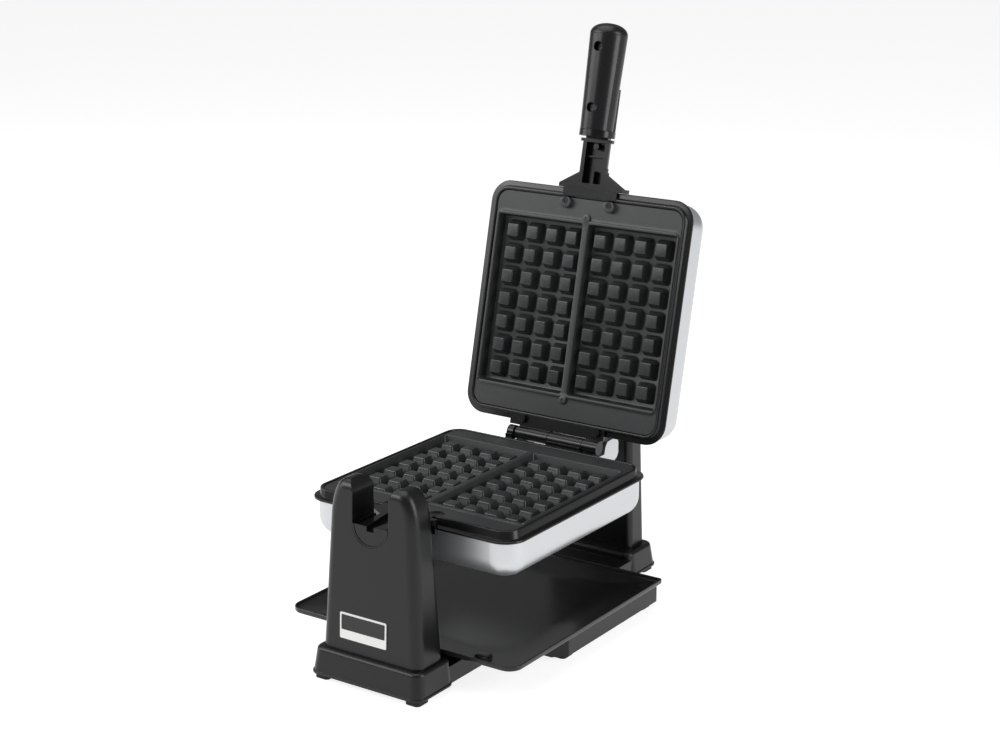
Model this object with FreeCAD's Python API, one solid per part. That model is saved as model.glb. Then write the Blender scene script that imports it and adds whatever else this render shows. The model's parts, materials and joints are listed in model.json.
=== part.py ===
"""Turn-over waffle maker on a two-tower stand, lid open.

Millimetres.  +X is the user's right, +Y runs to the back, +Z is up.  Lengths along Y are measured
from the middle of the baking plates and every solid is moved at the end, so that the origin lies
on the table under the middle of the whole object.

Both halves of the iron are drawn the same way up, with the parting plane at Z = 0 and the casing
growing upwards.  The lower half is then turned over and the lid is swung open about its hinge.
"""
import FreeCAD, Part
import math
import os
from FreeCAD import Vector

os.makedirs("parts", exist_ok=True)

# ---- driving dimensions -------------------------------------------------------------------
AXIS_HEIGHT = 158.0          # turning axis and parting plane above the table
LID_OPEN_ANGLE = 103.3       # lid swing from shut to its stop
ORIGIN_Y = 28.12             # middle of the whole length, behind the middle of the plates

POST_PITCH = 24.0            # waffle grid
POST_ROWS = 7
POST_COLUMNS = 4
FIRST_COLUMN = 17.2          # centre of the column of posts nearest the middle rib
CAVITY_FLOOR = 13.0          # below the parting plane
POST_TOP = 3.0
POST_BASE_HALF = 10.2
POST_TOP_HALF = 6.0

FACE_HALF_WIDTH = 112.4      # rim of each half at the parting plane
FACE_HALF_LENGTH = 114.6
FACE_CORNER = 14.0
FLANGE_REACH = 8.3
FLANGE_THICK = 3.0
LOWER_WALL = 8.7             # rim height over the flange, lower half
UPPER_WALL = 3.4             # the same on the lid
RIM_THICK = 1.4

SHELL_HALF_WIDTH = 117.8
SHELL_HALF_LENGTH = 120.0
SHELL_CORNER = 24.0
SHELL_ROUND = 19.0
SHELL_THICK = 1.5
LOWER_DEPTH = 48.5
UPPER_DEPTH = 46.0

HINGE_Y = 135.2
BARREL_RADIUS = 7.0
PIN_RADIUS = 2.5
RUNNING_GAP = 0.05

JOURNAL_RADIUS = 18.4
SLOT_RADIUS = 20.6
NECK_RADIUS = 15.5
JOURNAL_FRONT = -174.7

SKIRT_BOTTOM = 5.5
SKIRT_TOP = 31.0
DECK_TOP = 23.2
WALL = 2.6
BASE_FRONT = -190.0
BASE_BACK = 234.0
FRONT_SKIRT_END = -134.0
REAR_SKIRT_START = 180.0
SKIRT_HALF_WIDTH = 64.0
WING_HALF_WIDTH = 118.0
WING_FRONT = -36.0
WING_BACK = 153.0
WING_CHAMFER = 12.0

COLUMN_TOP = 197.0
REAR_COLUMN_TOP = 188.0

TRAY_HALF_WIDTH = 132.3
TRAY_FRONT = -138.0
TRAY_BACK = 128.0
TRAY_RIM = 37.8
TRAY_FLOOR = 25.5
TRAY_THICK = 2.0
LIP_HEIGHT = 3.3

GAP = 0.2                    # between touching pieces of one body
CLEAR = 0.3                  # between pieces of different bodies
TALL = 400.0

X_AXIS = Vector(1, 0, 0)
Y_AXIS = Vector(0, 1, 0)
Z_AXIS = Vector(0, 0, 1)


# ---- shared shapes ------------------------------------------------------------------------
def block(x0, x1, y0, y1, z0, z1):
    """Box between two corners."""
    return Part.makeBox(x1 - x0, y1 - y0, z1 - z0, Vector(x0, y0, z0))


def rod_y(radius, y0, y1, x=0.0, z=0.0):
    """Cylinder along Y."""
    return Part.makeCylinder(radius, y1 - y0, Vector(x, y0, z), Y_AXIS)


def rod_x(radius, x0, x1, y=0.0, z=0.0):
    """Cylinder along X."""
    return Part.makeCylinder(radius, x1 - x0, Vector(x0, y, z), X_AXIS)


def rod_z(radius, z0, z1, x=0.0, y=0.0):
    """Cylinder along Z."""
    return Part.makeCylinder(radius, z1 - z0, Vector(x, y, z0), Z_AXIS)


def rounded_wire(half_width, y0, y1, radius, z, rear_radius=None):
    """Rectangle with round corners at height z; the rear corners may have their own radius."""
    wire = []
    corners = [(half_width, y1, 0), (-half_width, y1, 90), (-half_width, y0, 180), (half_width, y0, 270)]
    ends = []
    for x, y, start in corners:
        turn_radius = rear_radius if rear_radius and y == y1 else radius
        middle = Vector(x - math.copysign(turn_radius, x), y - math.copysign(turn_radius, y - (y0 + y1) / 2), z)
        points = []
        for angle in (start, start + 45, start + 90):
            turn = math.radians(angle)
            points.append(middle + Vector(math.cos(turn), math.sin(turn), 0) * turn_radius)
        ends.append(points)
    for index, points in enumerate(ends):
        wire.append(Part.Arc(*points).toShape())
        after = ends[(index + 1) % len(ends)]
        wire.append(Part.makeLine(points[2], after[0]))
    return Part.Wire(wire)


def rounded_block(half_width, y0, y1, radius, z0, z1):
    """Upright prism on a round-cornered rectangle."""
    face = Part.Face(rounded_wire(half_width, y0, y1, radius, z0))
    return face.extrude(Vector(0, 0, z1 - z0))


def tapered_block(low, high):
    """Loft between two round-cornered rectangles, each (half width, y0, y1, radius, z)."""
    return Part.makeLoft([rounded_wire(*low), rounded_wire(*high)], True, True)


def prism_x(points, x0, x1):
    """Polygon of (y, z) points, extruded along X."""
    outline = Part.makePolygon([Vector(x0, y, z) for y, z in points + points[:1]])
    return Part.Face(outline).extrude(Vector(x1 - x0, 0, 0))


def prism_z(points, z0, z1):
    """Polygon of (x, y) points, extruded along Z."""
    outline = Part.makePolygon([Vector(x, y, z0) for x, y in points + points[:1]])
    return Part.Face(outline).extrude(Vector(0, 0, z1 - z0))


def round_level_edges(shape, z, radius):
    """Round every edge that lies at height z."""
    edges = [e for e in shape.Edges if abs(e.BoundBox.ZMin - z) < 0.01 and abs(e.BoundBox.ZMax - z) < 0.01]
    return shape.makeFillet(radius, edges)


def join(shapes):
    """One solid from several that overlap or touch."""
    return shapes[0].multiFuse(shapes[1:]).removeSplitter()


def mirror_x(shapes):
    """The shapes and their mirror images about the middle plane."""
    return shapes + [s.mirror(Vector(0, 0, 0), X_AXIS) for s in shapes]


def place_lower(shape):
    """Turn a half over and set it on the axis."""
    turned = shape.copy()
    turned.rotate(Vector(0, 0, 0), Y_AXIS, 180)
    turned.translate(Vector(0, 0, AXIS_HEIGHT))
    return turned


def place_lid(shape):
    """Set a half on the axis and swing it open."""
    turned = shape.copy()
    turned.translate(Vector(0, 0, AXIS_HEIGHT))
    turned.rotate(Vector(0, HINGE_Y, AXIS_HEIGHT), X_AXIS, -LID_OPEN_ANGLE)
    return turned


def place_axis(shape):
    """Raise a shape drawn about the turning axis."""
    raised = shape.copy()
    raised.translate(Vector(0, 0, AXIS_HEIGHT))
    return raised


def write(name, shapes):
    """One STEP file for one node."""
    group = shapes if isinstance(shapes, list) else [shapes]
    solids = [solid for shape in group for solid in shape.Solids]
    node = Part.makeCompound(solids) if len(solids) > 1 else solids[0]
    node.translate(Vector(0, -ORIGIN_Y, 0))
    node.exportStep("parts/" + name + ".step")


# ---- stand --------------------------------------------------------------------------------
def wing_outline(inset):
    """Plan of the side wings with cut-off corners."""
    half = WING_HALF_WIDTH - inset
    front = WING_FRONT + inset
    back = WING_BACK - inset
    cut = WING_CHAMFER
    return [(-half, front + cut), (-half + cut, front), (half - cut, front), (half, front + cut),
            (half, back - cut), (half - cut, back), (-half + cut, back), (-half, back - cut)]


def stand_body(inset, drop, bottom):
    """Skirts, spine and wings as one block, drawn smaller by inset and drop for the hollow."""
    skirt_draft = 2.5
    end_draft = 4.0
    corner = 10.0 - inset / 2
    half = SKIRT_HALF_WIDTH - inset
    top = SKIRT_TOP - drop
    front = tapered_block((half, BASE_FRONT + inset, FRONT_SKIRT_END - inset, corner, bottom),
                          (half - skirt_draft, BASE_FRONT + end_draft + inset,
                           FRONT_SKIRT_END - inset, corner, top))
    rear = tapered_block((half, REAR_SKIRT_START + inset, BASE_BACK - inset, corner, bottom),
                         (half - skirt_draft, REAR_SKIRT_START + inset,
                          BASE_BACK - end_draft - inset, corner, top))
    if inset == 0:
        front = round_level_edges(front, top, 3.5)
        rear = round_level_edges(rear, top, 3.5)
    spine = block(-half + skirt_draft, half - skirt_draft, BASE_FRONT + 20, BASE_BACK - 20, bottom, DECK_TOP - drop)
    wings = prism_z(wing_outline(inset), bottom, DECK_TOP - drop)
    return join([front, rear, spine, wings])


def base_frame():
    """Moulded stand: two skirts under the towers, a spine between them and two side wings."""
    body = stand_body(0, 0, SKIRT_BOTTOM)
    lips = []
    for y0, y1 in ((BASE_FRONT, FRONT_SKIRT_END), (REAR_SKIRT_START, BASE_BACK)):
        lips.append(rounded_block(SKIRT_HALF_WIDTH + 0.8, y0 - 0.8, y1 + 0.8, 10.8, SKIRT_BOTTOM, SKIRT_BOTTOM + 2))
    hollow = stand_body(WALL, WALL, SKIRT_BOTTOM - 1)
    frame = join([body] + lips).cut(hollow)
    bosses = [rod_z(4.0, COVER_TOP, (SKIRT_TOP if x == 0 else DECK_TOP) - 1, x, y) for x, y in COVER_SCREWS]
    frame = join([frame] + bosses)
    holes = [rod_z(1.6, COVER_TOP - 1, DECK_TOP - 4, x, y) for x, y in COVER_SCREWS]
    holes += [rod_z(2.2, SKIRT_TOP - WALL - 1, SKIRT_TOP + 1, x, y) for x, y in COLUMN_SCREWS]
    holes += [rod_z(8.0, SKIRT_TOP - WALL - 1, SKIRT_TOP + 1, 0, 211.0)]
    return frame.cut(Part.makeCompound(holes))


COVER_BOTTOM = 6.2
COVER_TOP = 8.2
COVER_SCREWS = [(-95, 20), (95, 20), (-95, 100), (95, 100), (0, -160), (0, 206)]
COLUMN_SCREWS = [(-40, -160), (40, -160), (-38, 211), (38, 211)]
FOOT_PLACES = [(52.8, -178.0), (52.8, 222.0), (104.0, -14.0), (104.0, 131.0)]


def bottom_cover():
    """Flat plate that closes the underside of the stand."""
    inset = 4.2
    spine = rounded_block(SKIRT_HALF_WIDTH - inset - 1.6, BASE_FRONT + inset, BASE_BACK - inset, 8.0,
                          COVER_BOTTOM, COVER_TOP)
    wings = prism_z(wing_outline(inset), COVER_BOTTOM, COVER_TOP)
    holes = [rod_z(1.8, COVER_BOTTOM - 1, COVER_TOP + 1, x, y) for x, y in COVER_SCREWS]
    return join([spine, wings]).cut(Part.makeCompound(holes))


def rubber_feet():
    """Eight soft pads, each with a stud up to the cover."""
    feet = []
    for x, y in FOOT_PLACES:
        pad = block(-8, 8, -9, 9, 0, 5.2)
        upright = [e for e in pad.Edges if e.BoundBox.ZLength > 5]
        pad = pad.makeFillet(4.0, upright)
        foot = join([pad, rod_z(4.0, 5.0, COVER_BOTTOM)])
        foot.translate(Vector(x, y, 0))
        feet.append(foot)
    return mirror_x(feet)


def pan_head_screw(x, y, head_z, radius, shank, length, head):
    """Screw that points up, its head below head_z."""
    top = rod_z(shank, head_z, head_z + length, x, y)
    cap = rod_z(radius, head_z - head, head_z, x, y)
    return join([cap, top])


def tower(half_low, half_high, shoulder, crown, side_view, edge_round):
    """Tower with leaning sides and soft shoulders, trimmed to its (y, z) side view."""
    top = max(z for y, z in side_view)
    start = Vector(half_low, 150, SKIRT_TOP)
    bend = Vector(half_high, 150, shoulder)
    lean = Vector(bend.x - start.x, 0, bend.z - start.z).normalize()
    reach = (top - shoulder) * 0.62
    peak = Vector(crown, 150, top)
    poles = [bend, bend + lean * reach, peak + Vector(reach * 0.45, 0, 0), peak]
    edges = [Part.makeLine(Vector(-half_low, 150, SKIRT_TOP), start), Part.makeLine(start, bend)]
    for points in (poles, [Vector(-p.x, p.y, p.z) for p in reversed(poles)]):
        curve = Part.BezierCurve()
        curve.setPoles(points)
        edges.append(curve.toShape())
    edges.insert(3, Part.makeLine(peak, Vector(-crown, 150, top)))
    edges.append(Part.makeLine(Vector(-half_high, 150, shoulder), Vector(-half_low, 150, SKIRT_TOP)))
    front_view = Part.Face(Part.Wire(edges)).extrude(Vector(0, 90, 0))
    front_view.translate(Vector(0, side_view[0][0] - 170, 0))
    body = front_view.common(prism_x(side_view, -80, 80))
    rims = [e for e in body.Edges if e.BoundBox.YLength < 10 and e.BoundBox.ZMax > SKIRT_TOP + 1]
    return body.makeFillet(edge_round, rims)


FRONT_FACE_LOW = -180.5
FRONT_SIDE = [(FRONT_FACE_LOW, SKIRT_TOP), (-173.0, COLUMN_TOP), (-143.0, COLUMN_TOP), (-139.5, SKIRT_TOP)]
REAR_SIDE = [(195.0, SKIRT_TOP), (200.0, REAR_COLUMN_TOP), (226.0, REAR_COLUMN_TOP), (226.0, SKIRT_TOP)]
FACE_LEAN = math.degrees(math.atan2(7.5, COLUMN_TOP - SKIRT_TOP))


def cradle_slot():
    """Open slot: half round at the bottom, straight sides, lead-in flares at the top."""
    left, right = -SLOT_RADIUS, SLOT_RADIUS
    y = -195
    bottom = Part.Arc(Vector(right, y, AXIS_HEIGHT), Vector(0, y, AXIS_HEIGHT - SLOT_RADIUS),
                      Vector(left, y, AXIS_HEIGHT))
    flare = [(SLOT_RADIUS, 184.0), (SLOT_RADIUS, 192.5), (25.5, 196.2), (34.0, 199.5)]
    edges = [bottom.toShape()]
    for side in (1, -1):
        points = [Vector(side * x, y, z) for x, z in flare]
        curve = Part.BezierCurve()
        curve.setPoles(points)
        edges += [Part.makeLine(Vector(side * SLOT_RADIUS, y, AXIS_HEIGHT), points[0]), curve.toShape(),
                  Part.makeLine(points[-1], Vector(points[-1].x, y, 220))]
    edges.append(Part.makeLine(Vector(34, y, 220), Vector(-34, y, 220)))
    return Part.Face(Part.Wire(Part.__sortEdges__(edges))).extrude(Vector(0, 70, 0))


def front_column():
    """Hollow front tower with the open cradle slot between two prongs."""
    body = tower(57.0, 49.8, 160.0, 31.0, FRONT_SIDE, 10.0).cut(cradle_slot())
    lower = tapered_block((53.8, -177.0, -143.0, 7.0, SKIRT_TOP - 1), (49.6, -171.5, -145.0, 6.0, 128.0))
    prongs = mirror_x([block(25.5, 42.0, -168.0, -148.0, 127.0, 176.0)])
    body = body.cut(join([lower] + prongs))
    bosses = [rod_z(5.0, SKIRT_TOP, 62.0, x, y) for x, y in COLUMN_SCREWS[:2]]
    pilots = [rod_z(1.6, SKIRT_TOP - 1, 55.0, x, y) for x, y in COLUMN_SCREWS[:2]]
    ribs = mirror_x([block(44.0, 54.0, -161.0, -159.0, SKIRT_TOP, 62.0)])
    return join([body] + bosses + ribs).cut(Part.makeCompound(pilots))


def front_liner():
    """Half-round wear liner in the cradle."""
    ring = rod_y(SLOT_RADIUS - GAP, -175.2, -141.5, 0, AXIS_HEIGHT)
    ring = ring.cut(rod_y(JOURNAL_RADIUS + CLEAR, -180, -135, 0, AXIS_HEIGHT))
    return ring.cut(block(-50, 50, -200, -100, AXIS_HEIGHT, AXIS_HEIGHT + 50))


def on_front_face(shape, z):
    """Lean a flat badge piece onto the sloping front face at height z."""
    leaned = shape.copy()
    leaned.rotate(Vector(0, 0, 0), X_AXIS, -FACE_LEAN)
    y = FRONT_FACE_LOW + (z - SKIRT_TOP) * math.tan(math.radians(FACE_LEAN))
    leaned.translate(Vector(-6.5, y - 0.05, z))
    return leaned


def badge_part(width, height, y0, y1, z0, radius):
    """Thin round-cornered plate in the XZ plane, its front at y0."""
    plate = block(-width / 2, width / 2, y0, y1, z0, z0 + height)
    return plate.makeFillet(radius, [e for e in plate.Edges if e.BoundBox.YLength > (y1 - y0) * 0.9])


def rear_column():
    """Hollow rear tower that carries the axle bearing, with a window in its back."""
    body = tower(53.0, 48.8, 150.0, 26.0, REAR_SIDE, 7.0)
    cavity = tapered_block((49.5, 199.0, 222.4, 5.0, SKIRT_TOP - 1), (42.0, 203.6, 222.4, 5.0, 176.0))
    window = block(-36, 36, 222, 230, 45, 150)
    bore = rod_y(BUSH_RADIUS + GAP / 2, 190, 215, 0, AXIS_HEIGHT)
    body = body.cut(join([cavity, window, bore]))
    bosses = [rod_z(5.0, SKIRT_TOP, 58.0, x, y) for x, y in COLUMN_SCREWS[2:]]
    ribs = mirror_x([block(41.0, 50.5, 210.0, 212.0, SKIRT_TOP, 58.0)])
    ears = [block(x - 5, x + 5, 219.4, 222.6, z - 5, z + 5) for x in (-32, 32) for z in (50, 145)]
    body = join([body] + bosses + ribs + ears)
    pilots = [rod_z(1.6, SKIRT_TOP - 1, 52.0, x, y) for x, y in COLUMN_SCREWS[2:]]
    pilots += [rod_y(1.3, 215, 226, x, z) for x in (-32, 32) for z in (50, 145)]
    return body.cut(Part.makeCompound(pilots))


BUSH_RADIUS = 10.9
AXLE_RADIUS = 5.5
CLIP_Y = 209.4
YOKE_BACK = 171.0
GLAND_Z = 62.0


def rear_cover():
    """Plate in the back window of the rear tower, with the cord hole."""
    plate = block(-35.8, 35.8, 222.8, 225.6, 45.2, 149.8)
    holes = [rod_y(1.6, 220, 230, x, z) for x in (-32, 32) for z in (50, 145)]
    holes.append(rod_y(6.2, 220, 230, 0, GLAND_Z))
    return plate.cut(Part.makeCompound(holes))


def rear_cover_screws():
    """Four small screws that hold the cover."""
    screws = []
    for x in (-32, 32):
        for z in (50, 145):
            head = rod_y(2.8, 225.6, 227.2, x, z)
            screws.append(join([head, rod_y(1.2, 217.0, 225.6, x, z)]))
    return screws


def cord_gland():
    """Round grommet where the mains lead enters."""
    collar = join([rod_y(8.0, 225.7, 229.0, 0, GLAND_Z), rod_y(6.0, 219.0, 225.7, 0, GLAND_Z),
                   rod_y(7.6, 218.0, 222.6, 0, GLAND_Z)])
    return collar.cut(rod_y(3.6, 215, 235, 0, GLAND_Z))


def rear_bearing():
    """Flanged bush for the axle."""
    bush = join([rod_y(15.0, 195.6, 198.0, 0, AXIS_HEIGHT), rod_y(BUSH_RADIUS, 197.0, 208.6, 0, AXIS_HEIGHT)])
    return bush.cut(rod_y(AXLE_RADIUS + RUNNING_GAP, 190, 215, 0, AXIS_HEIGHT))


def terminal_block():
    """Ceramic connector inside the rear tower."""
    body = block(-20, 20, 210.4, 222.6, 100, 112)
    holes = [rod_z(2.2, 104, 113, x, 216.0) for x in (-12, 0, 12)]
    return body.cut(Part.makeCompound(holes))


# ---- drip tray ----------------------------------------------------------------------------
def tray_dish(grow, lift):
    """Flared dish between the rim and the floor, drawn grow smaller and lift higher."""
    rim_z = TRAY_RIM - LIP_HEIGHT + lift
    rim = (TRAY_HALF_WIDTH - grow, TRAY_FRONT + grow, TRAY_BACK - grow, 14.0 - grow, rim_z, 3.0 - grow)
    floor = (98.0, -96.0, 100.0, 42.0, TRAY_FLOOR - TRAY_THICK + lift, 42.0)
    top = rim[:4] + (TRAY_RIM + 2 * lift,) + rim[5:]
    lip_foot = rim[:4] + (rim_z - 0.01,) + rim[5:]
    return join([tapered_block(floor, rim), tapered_block(lip_foot, top)])


def drip_tray():
    """Shallow pressed tray with a flared rim and two small locating lugs."""
    tray = tray_dish(0, 0).cut(tray_dish(1.8, TRAY_THICK))
    lugs = []
    for x in (-85.0, 85.0):
        lug = block(x - 7, x + 7, -124, -112, 30.0, 35.2)
        lugs.append(lug.makeChamfer(1.6, [e for e in lug.Edges if e.BoundBox.ZMin > 35]))
    return join([tray] + lugs)


# ---- the two halves of the iron ------------------------------------------------------------
def rim_frame(wall, is_lower):
    """Moulded rim with its flange, two inner ledges for the plate and, below, two boss notches."""
    back = wall + FLANGE_THICK
    rim = rounded_block(FACE_HALF_WIDTH, -FACE_HALF_LENGTH, FACE_HALF_LENGTH, FACE_CORNER, FACE_GAP, back)
    flange = rounded_block(FACE_HALF_WIDTH + FLANGE_REACH, -FACE_HALF_LENGTH - FLANGE_REACH,
                           FACE_HALF_LENGTH + FLANGE_REACH, FACE_CORNER + FLANGE_REACH, wall, back)
    frame = join([round_level_edges(rim, FACE_GAP, 0.8), flange])
    frame = round_level_edges(frame, back, 0.8)
    opening = rounded_block(FACE_HALF_WIDTH - RIM_THICK, -FACE_HALF_LENGTH + RIM_THICK,
                            FACE_HALF_LENGTH - RIM_THICK, FACE_CORNER - RIM_THICK, -1, back + 1)
    frame = frame.cut(opening)
    ledges = []
    for y0, y1 in ((-113.6, -98.0), (98.0, 113.6)):
        ledges.append(block(-96, 96, y0, y1, SLAB_BACK + GAP, SLAB_BACK + GAP + LEDGE_THICK))
    frame = join([frame] + ledges)
    holes = [rod_z(1.6, SLAB_BACK - 1, SLAB_BACK + 4, x, y) for x, y in PLATE_SCREWS]
    if is_lower:
        holes += [rod_z(BOSS_POCKET, -1, BOSS_RISE + 0.5, x, y) for x, y in FRONT_BOSSES]
    return frame.cut(Part.makeCompound(holes))


FACE_GAP = 0.15
BOSS_RADIUS = 7.0
BOSS_POCKET = 8.2
LEDGE_THICK = 1.6
SLAB_FACE = 1.0
SLAB_BACK = 5.0
BEAD_FACE = 0.3
CAST_BACK = 16.5
PLATE_SCREWS = [(-84, -104), (84, -104), (-84, 104), (84, 104)]
FRONT_BOSSES = [(-26, -109.3), (26, -109.3)]
REAR_BOSSES = [(-45, 119.6), (45, 119.6)]
BOSS_RISE = 3.5


def waffle_plate(has_bosses):
    """Cast plate: two pockets with rows of tapered posts, a raised bead and a flat border."""
    slab = rounded_block(FACE_HALF_WIDTH - RIM_THICK - GAP, -FACE_HALF_LENGTH + RIM_THICK + GAP,
                         FACE_HALF_LENGTH - RIM_THICK - GAP, FACE_CORNER - RIM_THICK, SLAB_FACE, SLAB_BACK)
    bead = rounded_block(109.0, -91.0, 91.0, 6.0, BEAD_FACE, SLAB_FACE + 1)
    back = rounded_block(107.9, -91.0, 91.0, 6.0, SLAB_BACK - 1, CAST_BACK)
    plate = join([slab, bead, back])
    pockets = []
    for side in (-1, 1):
        middle = side * 55.1
        low = rounded_wire(51.6, -88.0, 88.0, 3.0, BEAD_FACE - 0.01)
        high = rounded_wire(50.0, -86.2, 86.2, 3.0, CAVITY_FLOOR)
        pocket = Part.makeLoft([low, high], True, True)
        pocket.translate(Vector(middle, 0, 0))
        pockets.append(pocket)
    plate = plate.cut(Part.makeCompound(pockets))
    posts = []
    for side in (-1, 1):
        for column in range(POST_COLUMNS):
            for row in range(POST_ROWS):
                x = side * (FIRST_COLUMN + column * POST_PITCH)
                y = (row - (POST_ROWS - 1) / 2) * POST_PITCH
                foot = rounded_wire(POST_BASE_HALF, -POST_BASE_HALF, POST_BASE_HALF, 4.2, CAVITY_FLOOR + 0.1)
                head = rounded_wire(POST_TOP_HALF, -POST_TOP_HALF, POST_TOP_HALF, 1.8, POST_TOP)
                post = Part.makeLoft([foot, head], True, True)
                post.translate(Vector(x, y, 0))
                posts.append(post)
    plate = plate.multiFuse(posts)
    if has_bosses:
        inner_edge = -FACE_HALF_LENGTH + RIM_THICK + GAP
        proud = block(-40, 40, -FACE_HALF_LENGTH, -100, -BOSS_RISE, -GAP / 2)
        trim = block(-40, 40, inner_edge, -100, -GAP, SLAB_FACE + 1)
        rods = [rod_z(BOSS_RADIUS, -BOSS_RISE, SLAB_FACE + 1, x, y) for x, y in FRONT_BOSSES]
        bosses = [r.common(zone) for r in rods for zone in (proud, trim)]
        plate = plate.multiFuse(bosses)
        cuts = [rod_z(3.5, -BOSS_RISE - 1, -BOSS_RISE + 1.4, x, y) for x, y in FRONT_BOSSES]
        cuts += [rod_z(1.3, -BOSS_RISE - 1, SLAB_BACK + 1, x, y) for x, y in FRONT_BOSSES]
    else:
        cuts = [rod_z(BOSS_POCKET, BEAD_FACE - 1, BOSS_RISE + 0.5, x, y) for x, y in FRONT_BOSSES]
    cuts += [rod_z(1.35, SLAB_BACK - 2, SLAB_BACK + 1, x, y) for x, y in PLATE_SCREWS]
    return plate.cut(Part.makeCompound(cuts))


def plate_screws():
    """Four low screws from behind, through the ledges into the flat border of the plate."""
    head_z = SLAB_BACK + GAP + LEDGE_THICK
    screws = []
    for x, y in PLATE_SCREWS:
        head = rod_z(3.0, head_z, head_z + 1.6, x, y)
        screws.append(join([head, rod_z(1.3, SLAB_BACK - 1.8, head_z + 0.1, x, y)]))
    return screws


def heater():
    """Tubular element bent in a U behind the plate."""
    level = CAST_BACK + 3.5
    bend = 15.0
    side = 55.0
    front = -60.0
    corner = bend * (1 - math.sqrt(0.5))
    left = [Vector(-side, 84, level), Vector(-side, front, level)]
    across = [Vector(-side + bend, front - bend, level), Vector(side - bend, front - bend, level)]
    right = [Vector(side, front, level), Vector(side, 84, level)]
    path = Part.Wire([
        Part.makeLine(*left),
        Part.Arc(left[1], Vector(-side + corner, front - bend + corner, level), across[0]).toShape(),
        Part.makeLine(*across),
        Part.Arc(across[1], Vector(side - corner, front - bend + corner, level), right[0]).toShape(),
        Part.makeLine(*right)])
    ring = Part.Wire(Part.makeCircle(3.2, left[0], Y_AXIS))
    sweep = Part.BRepOffsetAPI.MakePipeShell(path)
    sweep.add(ring)
    sweep.build()
    sweep.makeSolid()
    return sweep.shape()


def reflector():
    """Thin bright pan between the element and the casing."""
    outer = rounded_block(100.0, -94.0, 94.0, 10.0, 19.0, 27.8)
    return outer.cut(rounded_block(99.3, -93.3, 93.3, 9.3, 18.0, 27.1))


def casing(wall, depth):
    """Drawn outer pan with soft corners."""
    start = wall + FLANGE_THICK
    outer = rounded_block(SHELL_HALF_WIDTH, -SHELL_HALF_LENGTH, SHELL_HALF_LENGTH, SHELL_CORNER, start, depth)
    outer = round_level_edges(outer, depth, SHELL_ROUND)
    t = SHELL_THICK
    inner = rounded_block(SHELL_HALF_WIDTH - t, -SHELL_HALF_LENGTH + t, SHELL_HALF_LENGTH - t,
                          SHELL_CORNER - t, start - 1, depth - t)
    inner = round_level_edges(inner, depth - t, SHELL_ROUND - t)
    return outer.cut(inner)


def thermostat():
    """Bimetal disc switch on the back of the lower plate."""
    body = join([rod_z(9.0, CAST_BACK, CAST_BACK + 6, 0, 10), rod_z(6.0, CAST_BACK + 5, CAST_BACK + 9, 0, 10)])
    return join([body, block(-14, 14, 7, 13, CAST_BACK, CAST_BACK + 1)])


def thermal_fuse():
    """Safety fuse in its clip on the back of the lid plate."""
    fuse = rod_x(2.0, -10, 10, 20, CAST_BACK + 3.0)
    return join([fuse, rod_x(0.6, -20, 20, 20, CAST_BACK + 3.0), block(-3, 3, 17, 23, CAST_BACK, CAST_BACK + 2)])


# ---- front journal, hinge and rear axle ----------------------------------------------------
def half_neck(side):
    """Half of the round neck in the cradle: side is 1 for the lid, -1 for the lower half."""
    disc = rod_y(JOURNAL_RADIUS, JOURNAL_FRONT, JOURNAL_FRONT + 3.2)
    neck = rod_y(NECK_RADIUS, JOURNAL_FRONT + 3, -138)
    root = prism_z([(-NECK_RADIUS, -146), (NECK_RADIUS, -146), (NECK_RADIUS, -140), (38, NECK_FOOT - 4),
                    (38, NECK_FOOT), (-38, NECK_FOOT), (-38, NECK_FOOT - 4), (-NECK_RADIUS, -140)], -5.5, 5.5)
    foot = block(-38, 38, NECK_FOOT - 4, NECK_FOOT, -14, 14)
    core = block(-13, 13, -142, NECK_FOOT, -12, 12)
    body = join([disc, neck, root, foot, core])
    away = block(-60, 60, -200, -100, -60, CLEAR / 2) if side > 0 else block(-60, 60, -200, -100, -CLEAR / 2, 60)
    return body.cut(away)


NECK_FOOT = -123.1


def lower_journal():
    """Lower half of the neck, with an open channel between two spreading ribs."""
    body = half_neck(-1)
    channel = prism_z([(-3.3, -180), (3.3, -180), (11.0, -130), (-11.0, -130)], -5.0, 1.0)
    tongue = block(-30, 30, NECK_FOOT - 1, -FACE_HALF_LENGTH - GAP, -LOWER_WALL + GAP, -0.3)
    return join([body.cut(channel), tongue])


def handle_neck():
    """Upper half of the neck, the collar and the tongue inside the grip."""
    body = half_neck(1)
    tongue = block(-32, 32, NECK_FOOT - 1, -FACE_HALF_LENGTH - GAP, 0.3, UPPER_WALL - GAP)
    collar = rod_y(18.4, -183.0, -176.6)
    stem = join([rod_y(13.0, -177.5, JOURNAL_FRONT + 1), block(-7, 7, -274, -180, -8, 5)])
    stem = stem.cut(rod_y(30.0, -176.6, -170.0).common(block(-40, 40, -176.6, -170, -40, 0.3)))
    body = join([body, tongue, collar, stem])
    trough = block(-11.0, 11.0, -171.0, -129.0, -1, 8.0)
    stiffeners = [block(-1.6, 1.6, -142.0, -128.0, 1.2, 9), block(-12, 12, -157.5, -156.0, 4.0, 9),
                  rod_z(3.2, 1.0, 9, 0, -167.0)]
    pockets = [trough.cut(join(stiffeners))]
    seat = block(-10.4, 10.4, -184, -150.0, 14.2, 30)
    screw_holes = [rod_z(1.3, -12, 4, 0, y) for y in GRIP_SCREWS]
    return body.cut(Part.makeCompound(pockets + screw_holes)).cut(seat)


GRIP_SCREWS = [-266.0, -205.0]
GRIP_FRONT = -291.0
GRIP_BACK = -183.2
GRIP_SPLIT = -9.0
GRIP_CENTRE = -2.5
GRIP_DOME = -279.0


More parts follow.
